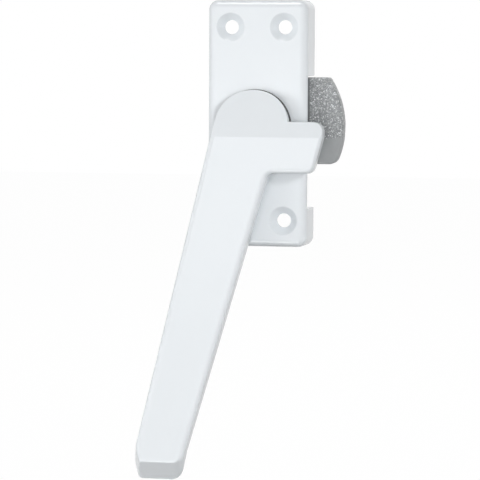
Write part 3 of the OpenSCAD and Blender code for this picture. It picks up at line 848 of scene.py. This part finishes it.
strip = recipe.node("GeometryNodeCurvePrimitiveQuadrilateral", None, {
    "Width": recipe.inputs["Width"], "Height": recipe.inputs["Thickness"]})
strip = recipe.node("GeometryNodeFilletCurve", {"mode": "POLY"}, {
    "Curve": strip, "Radius": STRIP_EDGE, "Count": 2})
swept = recipe.node("GeometryNodeCurveToMesh", None, {"Curve": path, "Profile Curve": strip})
wave = recipe.served(bench_object(bmesh.new()), swept)
wave.data.transform(Matrix.Translation((0, 0, WAVE_LOW + WAVE_H / 2)))
hand_over(wave, "wave_washer", "lever", "spring_steel")

# %% [markdown]
# ## Washers and screw
# A stamped washer has rolled edges, a split washer is a ring cut at a slant. The screw has a low head
# with a hexagon socket, and its thread is a ridge that climbs a spiral, which Geometry Nodes sweep.

# %% Retaining washer and split washer
WASHER_BORE, RETAINER_R, RETAINER_EDGE, LOCK_R, LOCK_EDGE = 2.15, 8.6, 0.18, 3.8, 0.1
retainer = bench_object(soft_ring(WASHER_BORE, RETAINER_R, RETAINER_LOW, WAVE_LOW, RETAINER_EDGE))
hand_over(retainer, "retaining_washer", "lever", "plated_steel")
SLIT, SLIT_R, SLANT, SECTIONS = 0.8, 3.0, math.tan(math.radians(20)), 72
corners = [(WASHER_BORE, LOCK_LOW), (LOCK_R, LOCK_LOW), (LOCK_R, RETAINER_LOW), (WASHER_BORE, RETAINER_LOW)]
section = outline(corners, [LOCK_EDGE] * 4, steps=2)
lock_mid = (LOCK_LOW + RETAINER_LOW) / 2
half_slit = SLIT / 2 / SLIT_R
cuts = []
for k in range(SECTIONS + 1):
    turn = half_slit + (2 * math.pi - 2 * half_slit) * k / SECTIONS
    swing = [turn - SLANT * (h - lock_mid) / r for r, h in section]
    cuts.append([(r * math.cos(t), r * math.sin(t), h) for (r, h), t in zip(section, swing)])
hand_over(bench_object(skinned(cuts)), "lock_washer", "lever", "spring_steel")

# %% Cam screw with a swept thread
HEAD_R, SCREW_TOP, ROOT_R, PITCH = 3.8, 11.1, 1.6, 0.7
NECK_R, NECK, RUN_OUT, POINT = 2.0, 0.9, 1.3, 0.2
HEAD_EDGE, SEAT_EDGE, KEY_R, KEY_DEPTH = 0.4, 0.15, 1.7, 2.1
THREAD_LOW, THREAD_END, THREAD_IN = LOCK_LOW + 1.2, 0.5, 0.03
TOOTH_R, TOOTH_OUT, TOOTH_UP = 0.32, 1.19, 0.8
head = [
    (0, HEAD_LOW), (HEAD_R, HEAD_LOW), (HEAD_R, LOCK_LOW), (NECK_R, LOCK_LOW), (NECK_R, LOCK_LOW + NECK),
    (ROOT_R, LOCK_LOW + RUN_OUT), (ROOT_R, SCREW_TOP - POINT), (ROOT_R - POINT, SCREW_TOP), (0, SCREW_TOP)]
screw = bench_object(spun(outline(head, [0, HEAD_EDGE, SEAT_EDGE, 0, 0, 0, 0, 0, 0], steps=4), 72))
socket = bmesh.new()
bmesh.ops.create_cone(
    socket, cap_ends=True, segments=6, radius1=KEY_R, radius2=KEY_R, depth=KEY_DEPTH,
    matrix=Matrix.Translation((0, 0, HEAD_LOW + FIT)))
combined(screw, socket, "DIFFERENCE")
turns = (SCREW_TOP - THREAD_END - THREAD_LOW) / PITCH
recipe = Recipe("thread", Radius=ROOT_R - THREAD_IN, Turns=turns, Pitch=PITCH, Start=THREAD_LOW)
climb = recipe.maths("MULTIPLY", recipe.inputs["Turns"], recipe.inputs["Pitch"])
spiral = recipe.node("GeometryNodeCurveSpiral", None, {
    "Resolution": 40, "Rotations": recipe.inputs["Turns"], "Start Radius": recipe.inputs["Radius"],
    "End Radius": recipe.inputs["Radius"], "Height": climb})
spiral = recipe.node("GeometryNodeSetCurveNormal", {"mode": "Z_UP"}, {"Curve": spiral})
lift = recipe.node("ShaderNodeCombineXYZ", None, {"Z": recipe.inputs["Start"]})
spiral = recipe.node("GeometryNodeSetPosition", None, {"Geometry": spiral, "Offset": lift})
tooth = recipe.node("GeometryNodeCurvePrimitiveCircle", None, {"Resolution": 8, "Radius": TOOTH_R})
squeeze = recipe.node("ShaderNodeCombineXYZ", None, {"X": TOOTH_OUT, "Y": TOOTH_UP, "Z": 1.0})
tooth = recipe.node("GeometryNodeTransform", None, {"Geometry": tooth, "Scale": squeeze})
thread = recipe.node("GeometryNodeCurveToMesh", None, {
    "Curve": spiral, "Profile Curve": tooth, "Fill Caps": True})
both = recipe.node("GeometryNodeJoinGeometry", None, {"Geometry": [recipe.inputs["Geometry"], thread]})
recipe.served(screw, both)
hand_over(screw, "cam_screw", "lever", "plated_steel")

# %% [markdown]
# ## Camera
# The photograph was taken from about 0.7 m, a little to the right of the latch and above it. The camera's
# three directions come from those angles, with a trace of roll.

# %% Camera at the photograph's angle
AZIMUTH, ELEVATION, ROLL, DISTANCE = 10.719, 4.81, math.radians(0.289), 0.7
SENSOR, FOCAL_PX, PICTURE_PX = 36.0, 2153.85, 480
# The point in the middle of the picture, in metres
target = Vector((-0.005314, -0.014, -0.037702))


def bearing(azimuth, elevation):
    """Direction away from the latch, by the angle round it and above it in degrees."""
    a, e = math.radians(azimuth), math.radians(elevation)
    return Vector((math.sin(a) * math.cos(e), -math.cos(a) * math.cos(e), math.sin(e)))


back = bearing(AZIMUTH, ELEVATION)
flat_right = Vector((math.cos(math.radians(AZIMUTH)), math.sin(math.radians(AZIMUTH)), 0))
flat_up = back.cross(flat_right)
right = flat_right * math.cos(ROLL) + flat_up * math.sin(ROLL)
up = flat_up * math.cos(ROLL) - flat_right * math.sin(ROLL)
eye = target + back * DISTANCE
lens = bpy.data.cameras.new("camera")
lens.sensor_fit, lens.sensor_width = "HORIZONTAL", SENSOR
lens.lens = SENSOR * FOCAL_PX / PICTURE_PX
lens.clip_start, lens.clip_end = 0.01, 50.0
camera = bpy.data.objects.new("camera", lens)
camera.matrix_world = Matrix((right, up, back)).transposed().to_4x4()
camera.matrix_world.translation = eye
bpy.context.scene.collection.objects.link(camera)
bpy.context.scene.camera = camera
print("Camera looks from", [round(v, 3) for v in eye], "with a", round(lens.lens), "mm lens")

# %% [markdown]
# ## Light and floor
# White on white needs light that falls off round the edges. The main soft box sits beside the camera, boxes
# on both sides shape the fillets, a small low one lights the tip, and one from above and behind keeps the
# upper walls as white as the room. None of these shows as gloss. Three more lamps show as nothing else: two
# set the flat front off from the sloping face, and a small low one draws the thin light line on the tip's
# edge and along the plate's foot. The room is dim for the latch, but the camera and reflections see it white,
# through the Light Path node. The floor keeps a faint shadow.

# %% Soft boxes
def soft_box(name, azimuth, elevation, distance, size, power):
    """Square lamp that looks at the latch from an angle round it."""
    lamp = bpy.data.lights.new(name, "AREA")
    lamp.shape, lamp.size, lamp.energy = "SQUARE", size, power
    away = bearing(azimuth, elevation)
    box = bpy.data.objects.new(name, lamp)
    box.matrix_world = away.to_track_quat("Z", "Y").to_matrix().to_4x4()
    box.matrix_world.translation = target + away * distance
    box.visible_camera = False
    bpy.context.scene.collection.objects.link(box)
    return box


# Azimuth and elevation in degrees, distance and width in metres, power in watts
LIGHT_BOXES = (
    ("camera_box", 12, -4, 1.6, 0.7, 14.0),
    ("left_box", -40, 0, 1.6, 0.7, 6.3),
    ("far_left_box", -65, 6, 1.6, 0.7, 8.2),
    ("right_box", 44, 18, 1.6, 0.2, 5.6),
    ("side_box", 90, -5, 1.6, 0.7, 9.2),
    ("back_box", 180, 45, 1.6, 1.2, 17.0),
    ("low_box", 8, -22, 0.45, 0.1, 0.18),
)
GLOSS_BOXES = (
    ("front_gloss", -10, -7, 1.6, 0.7, 2.7),
    ("top_gloss", 0, 78, 1.6, 0.7, 18.0),
    ("low_gloss", -13, -45, 0.24, 0.08, 0.13),
)
for spec in LIGHT_BOXES:
    soft_box(*spec).visible_glossy = False
for spec in GLOSS_BOXES:
    soft_box(*spec).visible_diffuse = False
print(len(LIGHT_BOXES), "lamps light the latch and", len(GLOSS_BOXES), "show as gloss on it")

# %% World
ROOM_LIGHT = 0.07


def seen_white(tree, paths):
    """1 for rays that look at the background, straight or in a reflection."""
    total = paths.outputs["Is Camera Ray"]
    for name in ("Is Glossy Ray", "Is Transmission Ray"):
        either = tree.nodes.new("ShaderNodeMath")
        either.operation = "MAXIMUM"
        tree.links.new(total, either.inputs[0])
        tree.links.new(paths.outputs[name], either.inputs[1])
        total = either.outputs[0]
    return total


def ranged(tree, socket, low, high):
    """Turns 0 to 1 into low to high."""
    scaled = tree.nodes.new("ShaderNodeMapRange")
    scaled.inputs["To Min"].default_value, scaled.inputs["To Max"].default_value = low, high
    tree.links.new(socket, scaled.inputs["Value"])
    return scaled.outputs["Result"]


world = bpy.data.worlds.new("white_room")
world.use_nodes = True
bpy.context.scene.world = world
sky = world.node_tree
sky.nodes["Background"].inputs["Color"].default_value = (1, 1, 1, 1)
glimpse = seen_white(sky, sky.nodes.new("ShaderNodeLightPath"))
strength = ranged(sky, glimpse, ROOM_LIGHT, 1.0)
sky.links.new(strength, sky.nodes["Background"].inputs["Strength"])
bpy.context.scene.view_settings.view_transform = "Standard"
print("The room lights the latch at", ROOM_LIGHT, "of the white that the camera sees")

# %% Floor
FLOOR_SIZE, FLOOR_DROP, FLOOR_TONE, GLOW_SHARE = 4.0, 0.12, 0.9, 0.985
floor_shape = bmesh.new()
bmesh.ops.create_grid(floor_shape, x_segments=1, y_segments=1, size=FLOOR_SIZE)
floor = bench_object(floor_shape, "floor")
floor.data.transform(Matrix.Translation((0, 0, cad_box[0][2] - FLOOR_DROP)))
pale = bpy.data.materials.new("pale_floor")
pale.use_nodes = True
tree = pale.node_tree
paint = tree.nodes["Principled BSDF"]
paths = tree.nodes.new("ShaderNodeLightPath")
bounce = ranged(tree, paths.outputs["Is Diffuse Ray"], FLOOR_TONE, ROOM_LIGHT)
tree.links.new(bounce, paint.inputs["Base Color"])
paint.inputs["Roughness"].default_value = 0.9
glow = tree.nodes.new("ShaderNodeEmission")
glow.inputs["Strength"].default_value = 1.0
mix = tree.nodes.new("ShaderNodeMixShader")
tree.links.new(ranged(tree, seen_white(tree, paths), 0.0, GLOW_SHARE), mix.inputs["Fac"])
tree.links.new(paint.outputs[0], mix.inputs[1])
tree.links.new(glow.outputs[0], mix.inputs[2])
tree.links.new(mix.outputs[0], tree.nodes["Material Output"].inputs["Surface"])
floor.data.materials.append(pale)
print("Floor lies", FLOOR_DROP, "m below the latch")
